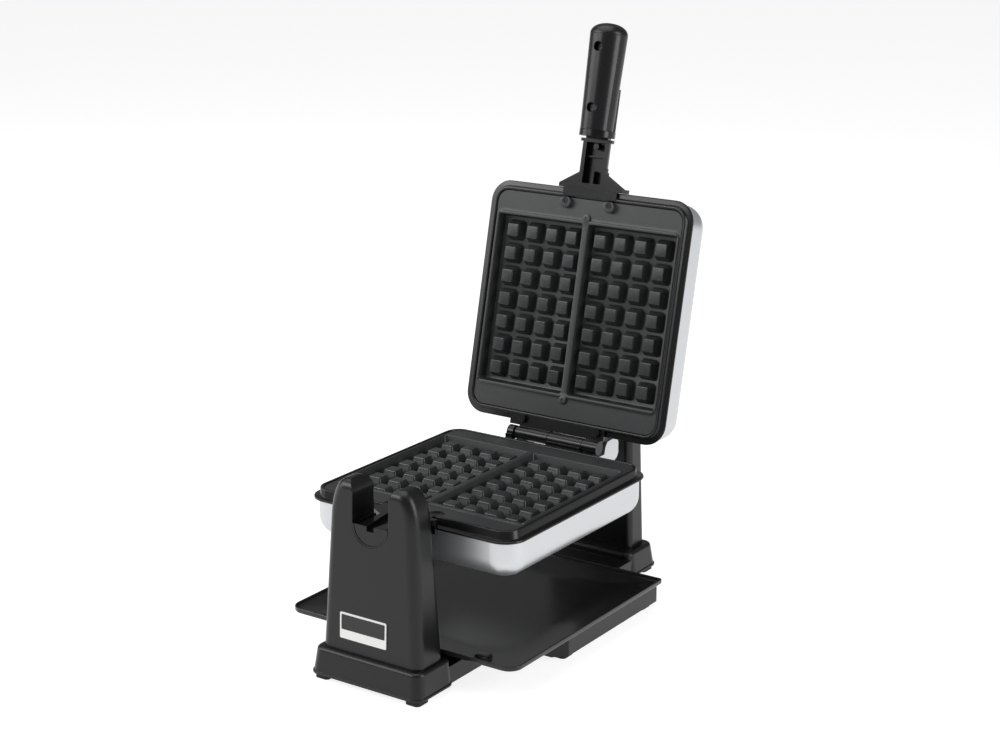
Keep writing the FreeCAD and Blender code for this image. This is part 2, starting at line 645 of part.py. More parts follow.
def grip_solid(inset):
    """Whole grip turned about its own axis: a widening bar with a domed end."""
    tip = GRIP_FRONT + inset
    start = GRIP_BACK + inset
    wide = 19.2 - inset
    narrow = 16.8 - inset
    dome = Part.BezierCurve()
    dome.setPoles([Vector(wide, GRIP_DOME, 0), Vector(wide + 0.15, GRIP_DOME - 7, 0),
                   Vector(wide * 0.62, tip, 0), Vector(0, tip, 0)])
    edges = [Part.makeLine(Vector(0, start, 0), Vector(narrow, start, 0)),
             Part.makeLine(Vector(narrow, start, 0), Vector(wide, GRIP_DOME, 0)), dome.toShape(),
             Part.makeLine(Vector(0, tip, 0), Vector(0, start, 0))]
    solid = Part.Face(Part.Wire(edges)).revolve(Vector(0, 0, 0), Y_AXIS, 360)
    solid.translate(Vector(0, 0, GRIP_CENTRE))
    return solid


def grip_front():
    """Glossy cover on the parting side of the grip, with two screw recesses."""
    shell = grip_solid(0).cut(grip_solid(2.6))
    keep = block(-30, 30, GRIP_DOME, GRIP_BACK + 5, -40, GRIP_SPLIT)
    shell = shell.common(keep)
    pillars = [rod_z(6.4, -19.0, -8.2, 0, y) for y in GRIP_SCREWS]
    holes = [rod_z(4.9, -30, -13.2, 0, y) for y in GRIP_SCREWS]
    holes += [rod_z(1.6, -20, -5, 0, y) for y in GRIP_SCREWS]
    return join([shell] + pillars).cut(Part.makeCompound(holes))


def grip_back():
    """Back of the grip with the domed end and the seat of the latch."""
    shell = grip_solid(0).cut(grip_solid(2.6))
    away = block(-30, 30, GRIP_DOME - GAP, GRIP_BACK + 5, -40, GRIP_SPLIT + GAP)
    seat = block(-10.4, 10.4, LATCH_FRONT - LATCH_TRAVEL - 0.5, GRIP_BACK + 5, 8.6, 30)
    return shell.cut(away).cut(seat)


LATCH_FRONT = -227.0
LATCH_BACK = -157.0
LATCH_TRAVEL = 8.0


def latch_slider():
    """Long thumb slider on top of the grip, its narrower nose over the neck."""
    runner = block(-10, 10, LATCH_FRONT, GRIP_BACK - 12, 9.2, 15)
    bar = block(-10, 10, LATCH_FRONT, GRIP_BACK + 0.6, 14.8, 18.2)
    nose = block(-6.5, 6.5, GRIP_BACK, LATCH_BACK, 14.8, 17.0)
    pad = [block(-7, 7, -223, -209, 17.6, 18.6)] + [rod_x(1.0, -7, 7, y, 18.2) for y in (-222, -218, -214, -210)]
    return join([runner, bar, nose] + pad)


def grip_screws():
    """Two countersunk screws in the grip."""
    screws = []
    for y in GRIP_SCREWS:
        head = rod_z(3.6, -15.4, -13.2, 0, y).cut(block(-2.6, 2.6, y - 0.5, y + 0.5, -16, -14.4))
        screws.append(join([head, rod_z(1.2, -13.3, 2, 0, y)]))
    return screws


BARRELS_LOWER = [(-58.0, -50.6), (-8.2, 32.7)]
BARRELS_LID = [(-47.7, -8.8), (33.3, 51.0)]
PIN_END = 48.0


def knuckles(spans, side, reach):
    """Barrel segments with fingers back to their plate; side 1 above, -1 below the parting plane."""
    parts = []
    for x0, x1 in spans:
        parts.append(rod_x(BARREL_RADIUS, x0, x1, HINGE_Y, 0))
        low, high = (0.3, 4.6) if side > 0 else (-6.6, -0.3)
        parts.append(block(x0, x1, reach, HINGE_Y, low, high))
    return parts


def hinge_base():
    """Lower hinge leaf with its barrel segments."""
    plate = block(-58, 50, 114.9, 127.3, -LOWER_WALL + GAP, -4.6)
    leaf = join([plate] + knuckles(BARRELS_LOWER, -1, 126))
    return leaf.cut(rod_x(PIN_RADIUS + RUNNING_GAP, -70, 70, HINGE_Y, 0))


def hinge_leaf():
    """Lid hinge leaf with its barrel segments and two screw bosses."""
    plate = block(-60, 54, 114.9, 127.3, 0.3, UPPER_WALL - GAP)
    bosses = [rod_z(4.9, -BOSS_RISE, 1, x, y) for x, y in REAR_BOSSES]
    leaf = join([plate] + bosses + knuckles(BARRELS_LID, 1, 126))
    cuts = [rod_x(PIN_RADIUS + RUNNING_GAP, -70, PIN_END + GAP, HINGE_Y, 0)]
    cuts += [rod_z(2.9, -BOSS_RISE - 1, -BOSS_RISE + 1.4, x, y) for x, y in REAR_BOSSES]
    cuts += [rod_z(1.3, -BOSS_RISE - 1, 10, x, y) for x, y in REAR_BOSSES]
    return leaf.cut(Part.makeCompound(cuts))


def lid_screws():
    """Four cross-head screws in the bosses of the lid."""
    screws = []
    for x, y in FRONT_BOSSES + REAR_BOSSES:
        head = rod_z(3.3 if y < 0 else 2.7, -BOSS_RISE - 0.4, -BOSS_RISE + 1.4, x, y)
        slots = [block(x - 1.8, x + 1.8, y - 0.4, y + 0.4, -10, -BOSS_RISE + 0.6),
                 block(x - 0.4, x + 0.4, y - 1.8, y + 1.8, -10, -BOSS_RISE + 0.6)]
        head = head.cut(Part.makeCompound(slots))
        length = SLAB_FACE + 2 if y < 0 else UPPER_WALL - 1
        screws.append(join([head, rod_z(1.2, -BOSS_RISE + 1.3, length, x, y)]))
    return screws


def rear_yoke():
    """Two arms from the lower casing round the hinge to a cross plate for the axle."""
    arm = [(120.2, 126.0), (120.2, 143.0), (127.5, 149.6), (144.0, 149.6), (146.0, 157.0), (149.5, 161.2),
           (155.0, 162.0), (165.0, 162.0), (169.0, 160.0), (YOKE_BACK, 156.0), (YOKE_BACK, 145.0),
           (168.5, 140.5), (163.0, 138.0), (140.0, 133.0), (128.0, 127.0)]
    parts = mirror_x([prism_x(arm, 47.5, 52.0)])
    parts.append(block(-54, 54, 120.2, 123.0, 127.0, 143.0))
    parts.append(block(-50, 50, 167.0, YOKE_BACK, 142.0, 162.0))
    parts.append(rod_y(AXLE_RADIUS + 1.4, 167.0, YOKE_BACK, 0, AXIS_HEIGHT))
    return join(parts).cut(rod_y(AXLE_RADIUS + 0.05, 160, 180, 0, AXIS_HEIGHT))


def rear_axle():
    """Hollow steel axle with a clip groove; the leads run through it."""
    axle = rod_y(AXLE_RADIUS, 167.0, 214.0, 0, AXIS_HEIGHT)
    groove = rod_y(8, CLIP_Y, CLIP_Y + 1.4, 0, AXIS_HEIGHT).cut(rod_y(4.8, 200, 220, 0, AXIS_HEIGHT))
    return axle.cut(rod_y(3.2, 160, 220, 0, AXIS_HEIGHT)).cut(groove)


def axle_clip():
    """Open retaining ring behind the bush."""
    ring = rod_y(8.6, CLIP_Y + 0.1, CLIP_Y + 1.3, 0, AXIS_HEIGHT).cut(rod_y(4.85, 200, 220, 0, AXIS_HEIGHT))
    return ring.cut(block(-2.5, 2.5, 200, 220, AXIS_HEIGHT - 12, AXIS_HEIGHT))


# ---- nodes --------------------------------------------------------------------------------
write("base_frame", base_frame())
write("bottom_cover", bottom_cover())
write("rubber_feet", rubber_feet())
write("cover_screws", [pan_head_screw(x, y, COVER_BOTTOM, 3.4, 1.5, 10, 1.2) for x, y in COVER_SCREWS])
write("column_screws", [pan_head_screw(x, y, SKIRT_TOP - WALL - 0.1, 3.8, 1.5, 22, 2.4) for x, y in COLUMN_SCREWS])
write("front_column", front_column())
write("front_liner", front_liner())
write("badge_plate", on_front_face(badge_part(54, 25.5, -1.0, 0, 0, 1.5), 44.5))
write("badge_panel", on_front_face(badge_part(50, 14.5, -1.4, -1.0, 9.0, 0.8), 44.5))
write("rear_column", rear_column())
write("rear_cover", rear_cover())
write("rear_cover_screws", rear_cover_screws())
write("cord_gland", cord_gland())
write("rear_bearing", rear_bearing())
write("terminal_block", terminal_block())
write("drip_tray", drip_tray())

for name, wall, depth, place in (("lower", LOWER_WALL, LOWER_DEPTH, place_lower),
                                 ("upper", UPPER_WALL, UPPER_DEPTH, place_lid)):
    write(name + "_frame", place(rim_frame(wall, name == "lower")))
    write(name + "_plate", place(waffle_plate(name == "upper")))
    write(name + "_plate_screws", [place(s) for s in plate_screws()])
    write(name + "_heater", place(heater()))
    write(name + "_reflector", place(reflector()))
    write(name + "_shell", place(casing(wall, depth)))

write("thermostat", place_lower(thermostat()))
write("thermal_fuse", place_lid(thermal_fuse()))
write("lower_journal", place_axis(lower_journal()))
write("hinge_base", place_axis(hinge_base()))
write("hinge_pin", place_axis(rod_x(PIN_RADIUS, -57.0, PIN_END, HINGE_Y, 0)))
write("rear_yoke", rear_yoke())
write("rear_axle", rear_axle())
write("axle_clip", axle_clip())
write("hinge_leaf", place_lid(hinge_leaf()))
write("lid_screws", [place_lid(s) for s in lid_screws()])
write("handle_neck", place_lid(handle_neck()))
write("grip_front", place_lid(grip_front()))
write("grip_back", place_lid(grip_back()))
write("grip_screws", [place_lid(s) for s in grip_screws()])
write("latch_slider", place_lid(latch_slider()))
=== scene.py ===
import bpy
import bmesh
import json
import math
from mathutils import Matrix, Vector
from mathutils.geometry import delaunay_2d_cdt

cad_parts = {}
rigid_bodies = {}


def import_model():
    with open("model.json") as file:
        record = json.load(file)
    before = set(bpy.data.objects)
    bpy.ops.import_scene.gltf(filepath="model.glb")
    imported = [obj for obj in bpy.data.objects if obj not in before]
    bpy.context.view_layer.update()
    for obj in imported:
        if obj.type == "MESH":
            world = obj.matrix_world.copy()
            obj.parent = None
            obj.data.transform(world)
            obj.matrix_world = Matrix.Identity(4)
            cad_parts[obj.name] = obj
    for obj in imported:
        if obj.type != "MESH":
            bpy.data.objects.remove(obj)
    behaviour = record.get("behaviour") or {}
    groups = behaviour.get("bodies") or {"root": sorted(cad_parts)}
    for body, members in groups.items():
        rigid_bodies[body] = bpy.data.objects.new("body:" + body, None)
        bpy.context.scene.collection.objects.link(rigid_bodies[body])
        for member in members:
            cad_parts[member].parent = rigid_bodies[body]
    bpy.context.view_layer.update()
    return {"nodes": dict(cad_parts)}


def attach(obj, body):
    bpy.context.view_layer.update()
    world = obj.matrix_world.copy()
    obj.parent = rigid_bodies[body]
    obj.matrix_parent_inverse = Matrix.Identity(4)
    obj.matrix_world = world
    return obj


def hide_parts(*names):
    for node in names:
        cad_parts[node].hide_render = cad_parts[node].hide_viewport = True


for leftover in list(bpy.data.objects):
    bpy.data.objects.remove(leftover)

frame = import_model()
cad = frame["nodes"]


# ---- Studio: a pale sweep under four large soft lamps ------------------------------------
# The camera stands low in front, to the right of the object, with a short telephoto lens.
camera = bpy.data.objects.new("camera", bpy.data.cameras.new("camera"))
camera.data.lens = 72.82
camera.data.clip_end = 50
standpoint = Vector((1.0787, -1.5518, 0.7969))
aim = Vector((0.0, 0.00488, 0.25195))
camera.matrix_world = (Matrix.Translation(standpoint)
                       @ (aim - standpoint).to_track_quat("-Z", "Y").to_matrix().to_4x4()
                       @ Matrix.Rotation(math.radians(-0.2), 4, "Z"))
bpy.context.collection.objects.link(camera)
bpy.context.scene.camera = camera
bpy.context.scene.view_settings.view_transform = "Standard"


def linear(colour):
    """Linear RGBA of an sRGB hex colour."""
    parts = [int(colour[i:i + 2], 16) / 255 for i in (1, 3, 5)]
    return [p / 12.92 if p <= 0.04045 else ((p + 0.055) / 1.055) ** 2.4 for p in parts] + [1.0]


def add(tree, kind, settings=None, inputs=None):
    """Adds a node, sets its properties, and sets or links its inputs."""
    made = tree.nodes.new(kind)
    for key, value in (settings or {}).items():
        setattr(made, key, value)
    for key, value in (inputs or {}).items():
        if isinstance(value, bpy.types.NodeSocket):
            tree.links.new(value, made.inputs[key])
        else:
            made.inputs[key].default_value = value
    return made


def new_material(name):
    """Empty node material and its tree."""
    made = bpy.data.materials.new(name)
    made.use_nodes = True
    made.node_tree.nodes.clear()
    return made, made.node_tree


def lamp(name, place, target, width, height, power):
    """Rectangular soft lamp aimed at a point."""
    light = bpy.data.lights.new(name, "AREA")
    light.shape = "RECTANGLE"
    light.size = width
    light.size_y = height
    light.energy = power
    made = bpy.data.objects.new(name, light)
    place = Vector(place)
    made.matrix_world = (Matrix.Translation(place)
                         @ (Vector(target) - place).to_track_quat("-Z", "Y").to_matrix().to_4x4())
    bpy.context.collection.objects.link(made)
    return made


lamp("overhead", (-0.3, -0.2, 2.4), (0, 0, 0.2), 2.6, 2.2, 40)
lamp("left_window", (-2.4, -1.2, 1.3), (0, 0, 0.2), 1.6, 2.0, 30)
lamp("front_left_bank", (-1.5, -2.2, 1.75), (0, 0, 0.3), 2.0, 1.0, 36)
lamp("right_panel", (2.6, 0.3, 1.2), (0, 0, 0.2), 1.2, 2.0, 44)

world = bpy.data.worlds.new("studio")
world.use_nodes = True
world.node_tree.nodes["Background"].inputs["Color"].default_value = linear("#FFFFFF")
world.node_tree.nodes["Background"].inputs["Strength"].default_value = 0.22
bpy.context.scene.world = world

sweep_paint, tree = new_material("matt_sweep_paint")
surface = add(tree, "ShaderNodeBsdfPrincipled", None,
              {"Base Color": linear("#A0A0A0"), "Roughness": 0.9, "Specular IOR Level": 0.0,
               "Emission Color": linear("#FFFFFF"), "Emission Strength": 0.84})
add(tree, "ShaderNodeOutputMaterial", None, {"Surface": surface.outputs["BSDF"]})
sweep_mesh = bpy.data.meshes.new("sweep")
sweep_mesh.from_pydata([(-9, -9, 0), (9, -9, 0), (9, 9, 0), (-9, 9, 0)], [], [(0, 1, 2, 3)])
sweep_mesh.materials.append(sweep_paint)
sweep = bpy.data.objects.new("sweep", sweep_mesh)
bpy.context.collection.objects.link(sweep)


# ---- Stand: base, two towers and rear cover ----------------------------------------------
# Injection-moulded ABS, black, with the fine even grain of a spark-eroded mould. It gives broad
# soft highlights and hides finger marks. The pieces are screwed together from below.
def moulded_black(name, colour, roughness, grain_mm, grain_depth_mm, edge_mm, coat):
    """Black moulding: slight tone drift, fine mould grain and softly broken edges."""
    made, tree = new_material(name)
    place = add(tree, "ShaderNodeTexCoord")
    drift = add(tree, "ShaderNodeTexNoise", None,
                {"Vector": place.outputs["Object"], "Scale": 1000 / 60, "Detail": 2.0})
    tone = add(tree, "ShaderNodeMix", {"data_type": "RGBA"},
               {"Factor": drift.outputs["Fac"], 6: linear(colour),
                7: [c * 1.28 for c in linear(colour)[:3]] + [1.0]})
    rub = add(tree, "ShaderNodeMapRange", None,
              {"Value": drift.outputs["Fac"], "To Min": roughness - 0.03, "To Max": roughness + 0.04})
    grain = add(tree, "ShaderNodeTexNoise", None,
                {"Vector": place.outputs["Object"], "Scale": 1000 / grain_mm, "Detail": 3.0})
    edge = add(tree, "ShaderNodeBevel", {"samples": 4}, {"Radius": edge_mm / 1000})
    bump = add(tree, "ShaderNodeBump", None,
               {"Height": grain.outputs["Fac"], "Distance": grain_depth_mm / 1000, "Strength": 0.6,
                "Normal": edge.outputs["Normal"]})
    surface = add(tree, "ShaderNodeBsdfPrincipled", None,
                  {"Base Color": tone.outputs[2], "Roughness": rub.outputs["Result"], "IOR": 1.5,
                   "Specular IOR Level": 0.36, "Normal": bump.outputs["Normal"],
                   "Coat Weight": coat, "Coat Roughness": 0.08})
    add(tree, "ShaderNodeOutputMaterial", None, {"Surface": surface.outputs["BSDF"]})
    return made


def finish(material, *nodes):
    """Gives carried-over pieces their material."""
    for name in nodes:
        mesh = cad[name].data
        mesh.materials.clear()
        mesh.materials.append(material)


stand_abs = moulded_black("moulded_abs_black", "#0B0B0C", 0.31, 0.7, 0.05, 1.2, 0.0)
finish(stand_abs, "base_frame", "front_column", "rear_column", "rear_cover", "bottom_cover")


# ---- Feet and cord grommet ---------------------------------------------------------------
# Pressed soft rubber, matt and slightly dusty. The feet push into the base and the grommet
# snaps into the rear cover.
pressed_rubber = moulded_black("pressed_rubber_black", "#1B1B1B", 0.75, 0.4, 0.04, 0.6, 0.0)
finish(pressed_rubber, "rubber_feet", "cord_gland")


# ---- Drip tray ---------------------------------------------------------------------------
# Thin steel dish in black enamel, half gloss, with a small upright lip, wide sloping sides and a
# soft fold to the flat floor. It slides out sideways and has two small lugs near the front.
TURN_SEGMENTS = 10
MERGE_DISTANCE = 0.0005


def ring_points(half, y0, y1, radius, rear_radius):
    """Outline of a round-cornered rectangle in the XY plane, counter-clockwise."""
    points = []
    for corner, (sx, y) in enumerate(((1, y1), (-1, y1), (-1, y0), (1, y0))):
        bend = rear_radius if y == y1 else radius
        centre_x = sx * (half - bend)
        centre_y = y - bend if y == y1 else y + bend
        for step in range(TURN_SEGMENTS + 1):
            turn = math.radians(90 * corner + 90 * step / TURN_SEGMENTS)
            points.append((centre_x + bend * math.cos(turn), centre_y + bend * math.sin(turn)))
    return points


def stack(mesh, rings, x=0.0, cap_start=False, cap_end=False, loop=False):
    """Skin over (half, y0, y1, radius, z[, rear radius]) outlines in millimetres."""
    layers = []
    for half, y0, y1, radius, z, *rear in rings:
        outline = ring_points(half, y0, y1, radius, rear[0] if rear else radius)
        layers.append([mesh.verts.new((x + px, py, z)) for px, py in outline])
    pairs = list(zip(layers, layers[1:] + (layers[:1] if loop else [])))
    for low, high in pairs:
        for i in range(len(low)):
            j = (i + 1) % len(low)
            mesh.faces.new((low[i], low[j], high[j], high[i]))
    if cap_start:
        mesh.faces.new(list(reversed(layers[0])))
    if cap_end:
        mesh.faces.new(layers[-1])
    return layers


def piece(name, mesh, material, place=Matrix.Identity(4), smooth_angle=35):
    """Turns millimetre mesh work into a finished object in metres."""
    bmesh.ops.remove_doubles(mesh, verts=mesh.verts, dist=MERGE_DISTANCE)
    bmesh.ops.recalc_face_normals(mesh, faces=mesh.faces)
    data = bpy.data.meshes.new(name)
    mesh.to_mesh(data)
    mesh.free()
    data.transform(place @ Matrix.Scale(0.001, 4))
    for face in data.polygons:
        face.use_smooth = True
    data.set_sharp_from_angle(angle=math.radians(smooth_angle))
    data.materials.append(material)
    made = bpy.data.objects.new(name, data)
    bpy.context.collection.objects.link(made)
    return made


ORIGIN_Y = 28.12
TRAY_FLOOR_Z = 25.5
TRAY_SLOPE = 9.0
TRAY_FOLD = 0.3
TRAY_THICK = 1.8
LUG_X = 85.0
stand_place = Matrix.Translation((0, -ORIGIN_Y / 1000, 0))
floor_outline = (98.0, -96.0, 100.0, 42.0, 42.0)
rim_outline = (130.5, -136.2, 126.2, 12.2, 1.2)


def tray_ring(along, z):
    """Outline part of the way from the floor (0) to the rim (1)."""
    *ring, rear_radius = [a + (b - a) * along for a, b in zip(floor_outline, rim_outline)]
    return (*ring, z, rear_radius)


tray_enamel = moulded_black("tray_enamel_black", "#171718", 0.2, 2.5, 0.03, 0.5, 0.0)
mesh = bmesh.new()
upper = []
for step in range(13):
    along = TRAY_FOLD * (step / 6 - 1)
    rise = TRAY_SLOPE * (along + TRAY_FOLD) ** 2 / (4 * TRAY_FOLD)
    upper.append(tray_ring(along, TRAY_FLOOR_Z + rise))
for along in (0.5, 0.7, 0.9, 0.97):
    upper.append(tray_ring(along, TRAY_FLOOR_Z + TRAY_SLOPE * along))
lip = [(130.6, -136.3, 126.3, 12.3, 34.9, 1.3), (130.8, -136.5, 126.5, 12.5, 37.3, 1.5),
       (131.2, -136.9, 126.9, 12.9, 37.75, 1.9), (131.8, -137.5, 127.5, 13.5, 37.75, 2.5),
       (132.2, -137.9, 127.9, 13.9, 37.3, 2.9), (132.2, -137.9, 127.9, 13.9, 34.0, 2.9),
       (131.6, -137.3, 127.3, 13.3, 33.0, 2.3)]
under = [(*ring[:4], ring[4] - TRAY_THICK, ring[5]) for ring in reversed(upper)]
stack(mesh, upper + lip + under, cap_start=True, cap_end=True)
for side in (-1, 1):
    stack(mesh, [(7.0, -124.0, -112.0, 1.5, 30.3), (6.8, -123.6, -112.6, 1.5, 33.6),
                 (6.2, -122.8, -113.4, 1.2, 34.2), (4.0, -120.8, -115.4, 0.9, 34.3)],
          x=side * LUG_X, cap_start=True, cap_end=True)
tray = piece("tray_dish", mesh, tray_enamel, stand_place, smooth_angle=40)
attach(tray, "tray")
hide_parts("drip_tray")


# ---- Casings and yoke --------------------------------------------------------------------
# Deep-drawn steel pans in fine silver lacquer, satin, with the metal flake only just felt. The
# same finish is on the bent yoke behind the hinge.
silver_lacquer, tree = new_material("silver_lacquer_satin")
place = add(tree, "ShaderNodeTexCoord")
flake = add(tree, "ShaderNodeTexNoise", None,
            {"Vector": place.outputs["Object"], "Scale": 1000 / 0.8, "Detail": 2.0})
cloud = add(tree, "ShaderNodeTexNoise", None,
            {"Vector": place.outputs["Object"], "Scale": 1000 / 90, "Detail": 2.0})
rub = add(tree, "ShaderNodeMapRange", None,
          {"Value": cloud.outputs["Fac"], "To Min": 0.33, "To Max": 0.41})
tone = add(tree, "ShaderNodeMix", {"data_type": "RGBA"},
           {"Factor": flake.outputs["Fac"], 6: linear("#C2C4C7"), 7: linear("#CDCFD1")})
bump = add(tree, "ShaderNodeBump", None,
           {"Height": flake.outputs["Fac"], "Distance": 0.00003, "Strength": 0.4})
surface = add(tree, "ShaderNodeBsdfPrincipled", None,
              {"Base Color": tone.outputs[2], "Metallic": 0.85, "Roughness": rub.outputs["Result"],
               "Normal": bump.outputs["Normal"]})
add(tree, "ShaderNodeOutputMaterial", None, {"Surface": surface.outputs["BSDF"]})
finish(silver_lacquer, "lower_shell", "upper_shell", "rear_yoke")


# ---- Rims of both halves -----------------------------------------------------------------
# Compression-moulded phenolic, satin black, with a rounded top edge, an upright wall and a thin
# flange over the casing. The lower wall stands further in at the rear, clear of the shut lid's
# hinge leaf and its screws.
AXIS_HEIGHT = 158.0
HINGE_Y = 135.2
LID_OPEN_ANGLE = math.radians(103.3)
LOWER_WALL = 8.7
UPPER_WALL = 3.4
RIM_HALF_WIDTH = 114.0
RIM_HALF_LENGTH = 116.2
RIM_CORNER = 15.5
LOWER_REAR_LIMIT = 114.3
lower_place = (stand_place @ Matrix.Translation((0, 0, AXIS_HEIGHT / 1000))
               @ Matrix.Rotation(math.pi, 4, "Y"))
hinge_point = Matrix.Translation((0, HINGE_Y / 1000, AXIS_HEIGHT / 1000))
lid_place = (stand_place @ hinge_point @ Matrix.Rotation(-LID_OPEN_ANGLE, 4, "X")
             @ Matrix.Translation((0, -HINGE_Y / 1000, 0)))

rim_phenolic = moulded_black("moulded_phenolic_black", "#0B0B0C", 0.27, 0.9, 0.04, 0.5, 0.0)
for name, body, place, wall in (("lower_frame", "lower_half", lower_place, LOWER_WALL),
                                ("upper_frame", "lid", lid_place, UPPER_WALL)):
    mesh = bmesh.new()
    section = [(-2.9, wall + 2.6), (-2.9, 1.4), (-2.6, 0.8), (-2.0, 0.5), (-0.6, 0.5), (0.2, 0.8),
               (0.6, 1.5), (1.0, wall - 0.9), (1.3, wall - 0.3), (1.9, wall - 0.05), (5.7, wall),
               (6.4, wall + 0.3), (6.7, wall + 0.9), (6.7, wall + 1.9), (6.3, wall + 2.4),
               (5.6, wall + 2.6)]
    rim = []
    for reach, z in section:
        rear = RIM_HALF_LENGTH + reach
        if name == "lower_frame" and z < wall - 0.5:
            rear = min(rear, LOWER_REAR_LIMIT)
        rim.append((RIM_HALF_WIDTH + reach, -RIM_HALF_LENGTH - reach, rear, RIM_CORNER + reach, z))
    stack(mesh, rim, loop=True)
    frame_piece = piece(name + "_moulding", mesh, rim_phenolic, place, smooth_angle=38)
    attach(frame_piece, body)
    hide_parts(name)


# ---- Waffle plates -----------------------------------------------------------------------
# Die-cast aluminium with a dark grey non-stick coating, satin with a faint orange peel. Two
# pockets of tapered posts, a raised bead and a flat border. Two screw bosses and two locating tabs
# on the lid's plate drop into wells in the lower one.
nonstick, tree = new_material("nonstick_coated_casting")
place = add(tree, "ShaderNodeTexCoord")
peel = add(tree, "ShaderNodeTexNoise", None,
           {"Vector": place.outputs["Object"], "Scale": 1000 / 1.1, "Detail": 3.0})
fleck = add(tree, "ShaderNodeTexVoronoi", None,
            {"Vector": place.outputs["Object"], "Scale": 1000 / 1.6})
wear = add(tree, "ShaderNodeTexNoise", None,
           {"Vector": place.outputs["Object"], "Scale": 1000 / 45, "Detail": 3.0})
polished = add(tree, "ShaderNodeAttribute", {"attribute_name": "polished"})
tone = add(tree, "ShaderNodeMix", {"data_type": "RGBA"},
           {"Factor": wear.outputs["Fac"], 6: linear("#242526"), 7: linear("#2D2E2F")})
speck = add(tree, "ShaderNodeMapRange", None,
            {"Value": fleck.outputs["Distance"], "From Max": 0.35, "To Min": 1.0, "To Max": 0.0})
flecked = add(tree, "ShaderNodeMix", {"data_type": "RGBA"},
              {"Factor": speck.outputs["Result"], 6: tone.outputs[2], 7: linear("#3A3B3C")})
rub = add(tree, "ShaderNodeMapRange", None,
          {"Value": wear.outputs["Fac"], "To Min": 0.36, "To Max": 0.46})
smooth = add(tree, "ShaderNodeMath", {"operation": "MULTIPLY_ADD"},
             {0: polished.outputs["Fac"], 1: -0.16, 2: rub.outputs["Result"]})
bump = add(tree, "ShaderNodeBump", None,
           {"Height": peel.outputs["Fac"], "Distance": 0.00014, "Strength": 0.6})
surface = add(tree, "ShaderNodeBsdfPrincipled", None,
              {"Base Color": flecked.outputs[2], "Roughness": smooth.outputs[0], "IOR": 1.5,
               "Metallic": 0.2, "Normal": bump.outputs["Normal"]})
add(tree, "ShaderNodeOutputMaterial", None, {"Surface": surface.outputs["BSDF"]})

POCKET_MIDDLE = 55.1
POCKET_MOUTH = (52.2, 88.4)
BORDER_MOUTH = (108.5, 90.5)
POST_SHINE_BELOW = 4.5
PLATE_SMOOTH_ANGLE = 40
BOSS_X = 26.0
BOSS_Y = -109.3
TAB_Y = 93.5
mesh = bmesh.new()
wall = [(52.3, -88.5, 88.5, 3.6, 0.3), (51.9, -88.1, 88.1, 3.2, 0.45), (51.6, -87.8, 87.8, 3.0, 1.0),
        (50.7, -86.9, 86.9, 3.0, 11.8), (50.3, -86.5, 86.5, 2.8, 12.6), (49.4, -85.6, 85.6, 2.4, 13.0)]
rims = [stack(mesh, wall, x=side * POCKET_MIDDLE, cap_end=True)[0] for side in (-1, 1)]
border = [(108.5, -90.5, 90.5, 5.6, 0.3), (108.9, -90.9, 90.9, 6.0, 0.45),
          (109.2, -91.3, 91.3, 6.3, 1.4), (109.4, -91.7, 91.7, 6.5, 1.6),
          (109.6, -94.0, 94.0, 7.0, 1.6), (110.3, -112.5, 112.5, 12.1, 1.6),
          (110.7, -112.9, 112.9, 12.5, 2.0), (110.7, -112.9, 112.9, 12.5, 5.0),
          (107.9, -91.0, 91.0, 6.0, 5.0), (107.9, -91.0, 91.0, 6.0, 16.4)]
outer = stack(mesh, border, cap_end=True)[0]
flat = [outer] + rims
corners = [Vector(v.co[:2]) for loop_ring in flat for v in loop_ring]
edges = []
start = 0
for loop_ring in flat:
    count = len(loop_ring)
    edges += [(start + i, start + (i + 1) % count) for i in range(count)]
    start += count
found, _, faces, origins, _, _ = delaunay_2d_cdt(corners, edges, [], 0, 1e-5)
flat_verts = [v for loop_ring in flat for v in loop_ring]
lookup = [flat_verts[ids[0]] for ids in origins]


def in_pocket(point):
    """True inside one of the two pocket mouths."""
    half_x, half_y = POCKET_MOUTH
    return any(abs(point.x - side * POCKET_MIDDLE) < half_x and abs(point.y) < half_y
               for side in (-1, 1))


for face in faces:
    middle = sum((found[i] for i in face), Vector((0, 0))) / len(face)
    if in_pocket(middle) or abs(middle.x) > BORDER_MOUTH[0] or abs(middle.y) > BORDER_MOUTH[1]:
        continue
    mesh.faces.new([lookup[i] for i in face])
plate_pan = bpy.data.meshes.new("plate_pan")
bmesh.ops.remove_doubles(mesh, verts=mesh.verts, dist=MERGE_DISTANCE)
bmesh.ops.recalc_face_normals(mesh, faces=mesh.faces)
mesh.to_mesh(plate_pan)
mesh.free()


def square(half, corner, z, y=0.0):
    """Square outline with its middle at y."""
    return (half, y - half, y + half, corner, z)


mesh = bmesh.new()
stack(mesh, [square(11.0, 4.2, 13.1), square(10.5, 3.9, 12.9), square(10.1, 3.6, 12.3),
             square(9.7, 3.3, 11.2), square(6.6, 1.3, 3.8), square(6.45, 1.15, 3.35),
             square(6.1, 0.9, 3.06), square(5.7, 0.7, 3.0)], cap_end=True)
bmesh.ops.recalc_face_normals(mesh, faces=mesh.faces)
bmesh.ops.reverse_faces(mesh, faces=[f for f in mesh.faces if f.normal.z > 0.3])
post_mesh = bpy.data.meshes.new("post")
mesh.to_mesh(post_mesh)
mesh.free()
shine = post_mesh.attributes.new("polished", "FLOAT", "POINT")
for vertex in post_mesh.vertices:
    shine.data[vertex.index].value = 1.0 if vertex.co.z < POST_SHINE_BELOW else 0.0
post = bpy.data.objects.new("post", post_mesh)

